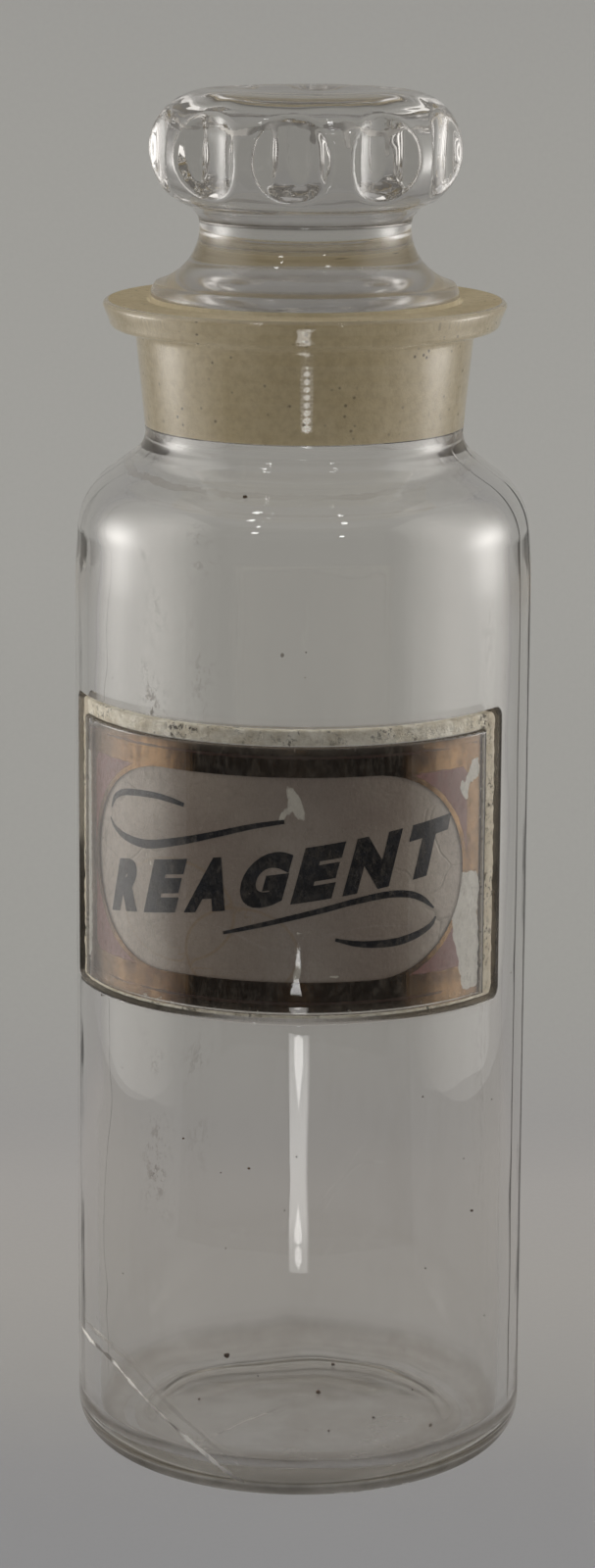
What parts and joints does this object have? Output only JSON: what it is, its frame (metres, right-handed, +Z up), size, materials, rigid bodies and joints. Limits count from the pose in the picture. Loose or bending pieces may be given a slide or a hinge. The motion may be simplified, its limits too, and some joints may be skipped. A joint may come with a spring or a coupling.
{
  "type": "reagent bottle",
  "caption": "Wide-mouth glass reagent bottle with a flanged lip, a gilt label under curved glass set in a recess, and a ground glass stopper with a thumbprint head.",
  "frame": {"origin": "centre of the base, in the plane the bottle rests on", "axes": "+Z up the bottle's axis, -Y out through the middle of the label, +X to the right when facing the label"},
  "size_m": [0.076, 0.076, 0.2305],
  "materials": {
    "clear_glass": "clear moulded glass, fire-polished outside, frosted beige where the neck is ground",
    "pressed_glass": "clear pressed glass, polished head, frosted ground plug",
    "pane_glass": "thin clear curved glass",
    "gold_leaf": "burnished gold leaf, worn and partly lost, with dull red corners",
    "cream_enamel": "aged cream enamel with fine cracks and dark blue lettering",
    "label_cement": "dry whitish cement with dark specks of dirt"
  },
  "bodies": {
    "bottle": {"bottle": "clear_glass", "label_glass": "pane_glass", "label_gilding": "gold_leaf", "label_field": "cream_enamel", "label_cement": "label_cement"},
    "stopper": {"stopper": "pressed_glass"}
  },
  "joints": [
    {"name": "stopper_lift", "type": "slide", "parent": "bottle", "child": "stopper", "axis": [0, 0, 1], "range_m": [0, 0.06]}
  ]
}
